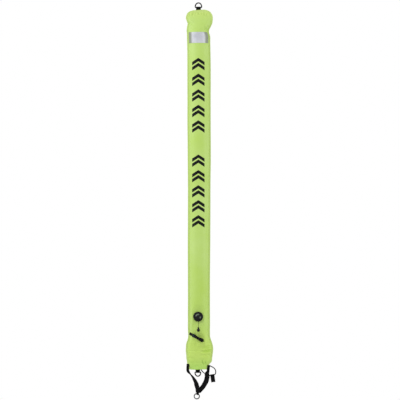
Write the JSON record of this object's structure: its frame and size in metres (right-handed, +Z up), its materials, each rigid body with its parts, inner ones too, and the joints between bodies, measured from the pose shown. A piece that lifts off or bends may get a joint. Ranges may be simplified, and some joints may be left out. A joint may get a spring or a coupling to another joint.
{
  "type": "surface marker buoy",
  "caption": "Long inflatable diver's marker tube of coated fabric with a reflective band, dump valve, oral inflator, webbing bridle, D-rings and a pull tab on an elastic loop.",
  "frame": {"origin": "inside the top D-ring, where a hook bears when the tube hangs", "axes": "+Z up along the hanging tube, front with valve and inflator towards -Y, +X to the right seen from the front"},
  "size_m": [0.152, 0.1089, 1.9843],
  "materials": {
    "panel_fabric": "coated, satin",
    "baffle_fabric": "coated, satin",
    "reflective_tape": "retroreflective",
    "webbing": "woven",
    "elastic_cord": "braided cover",
    "pull_cord": "braided",
    "dark_ring": "dark coated",
    "bright_ring": "polished",
    "spring_wire": "drawn",
    "black_plastic": "satin",
    "grey_plastic": "satin",
    "black_rubber": "matt"
  },
  "bodies": {
    "top_ring": {"top_ring": "dark_ring"},
    "tube": {"front_panel": "panel_fabric", "rear_panel": "panel_fabric", "front_tape": "reflective_tape", "rear_tape": "reflective_tape", "front_baffle": "baffle_fabric", "rear_baffle": "baffle_fabric", "top_tab": "webbing", "centre_tab": "webbing", "left_anchor": "webbing", "right_anchor": "webbing", "valve_base": "black_plastic", "valve_gasket": "black_rubber", "valve_housing": "black_plastic", "valve_cap": "black_plastic", "inflator_neck": "black_plastic"},
    "centre_ring": {"centre_ring": "dark_ring"},
    "bridle": {"left_leg": "webbing", "right_leg": "webbing", "bridle_keeper": "webbing"},
    "bridle_ring": {"bridle_ring": "bright_ring"},
    "loop": {"elastic_loop": "elastic_cord"},
    "pull_tab": {"pull_tab": "webbing"},
    "dump_pull": {"dump_cord": "pull_cord", "dump_bead": "black_plastic"},
    "valve_poppet": {"valve_poppet": "black_rubber", "valve_spring": "spring_wire"},
    "inflator": {"inflator_boot": "black_rubber", "inflator_hose": "black_rubber", "hose_tie": "black_plastic", "mouthpiece_barrel": "black_plastic"},
    "lock_ring": {"lock_ring": "grey_plastic"},
    "mouthpiece": {"mouthpiece_nozzle": "black_plastic", "mouthpiece_poppet": "black_rubber", "mouthpiece_spring": "spring_wire"}
  },
  "joints": [
    {"name": "tube_swing", "type": "hinge", "parent": "top_ring", "child": "tube", "pos_m": [0, 0, -0.0203], "axis": [1, 0, 0], "range_deg": [-85, 85]},
    {"name": "centre_ring_swing", "type": "hinge", "parent": "tube", "child": "centre_ring", "pos_m": [-0.003, 0.01525, -1.8435], "axis": [1, 0, 0], "range_deg": [-60, 85]},
    {"name": "bridle_swing", "type": "hinge", "parent": "tube", "child": "bridle", "pos_m": [0, -0.0018, -1.832], "axis": [1, 0, 0], "range_deg": [-80, 8]},
    {"name": "bridle_ring_swing", "type": "hinge", "parent": "bridle", "child": "bridle_ring", "pos_m": [-0.00423, -0.0018, -1.95114], "axis": [0.9511, 0, -0.309], "range_deg": [-60, 60]},
    {"name": "loop_swing", "type": "hinge", "parent": "tube", "child": "loop", "pos_m": [0.0122, 0.0164, -1.827], "axis": [0.8646, -0.2882, 0.4117], "range_deg": [0, 45]},
    {"name": "pull_tab_swing", "type": "hinge", "parent": "loop", "child": "pull_tab", "pos_m": [0.0693, 0.0074, -1.858], "axis": [0.9889, 0, 0.1489], "range_deg": [-60, 60]},
    {"name": "dump_pull_slide", "type": "slide", "parent": "tube", "child": "dump_pull", "axis": [0, 0, -1], "range_m": [0, 0.006], "stiffness_N_per_m": 150},
    {"name": "poppet_lift", "type": "slide", "parent": "tube", "child": "valve_poppet", "axis": [0, -1, 0], "range_m": [0, 0.003], "deforming": ["valve_spring"]},
    {"name": "inflator_flex", "type": "hinge", "parent": "tube", "child": "inflator", "pos_m": [0.01675, -0.0371, -1.6815], "axis": [0, 1, 0], "range_deg": [-20, 0], "stiffness_Nm_per_rad": 0.5},
    {"name": "lock_ring_turn", "type": "hinge", "parent": "inflator", "child": "lock_ring", "pos_m": [-0.02325, -0.0506, -1.65878], "axis": [-0.8695, 0, 0.4939], "range_deg": [0, 90]},
    {"name": "mouthpiece_push", "type": "slide", "parent": "inflator", "child": "mouthpiece", "axis": [0.8695, 0, -0.4939], "range_m": [0, 0.003], "stiffness_N_per_m": 400, "deforming": ["mouthpiece_spring"]}
  ],
  "couplings": [
    {"joint": "poppet_lift", "follows": "dump_pull_slide", "ratio": 0.5}
  ]
}
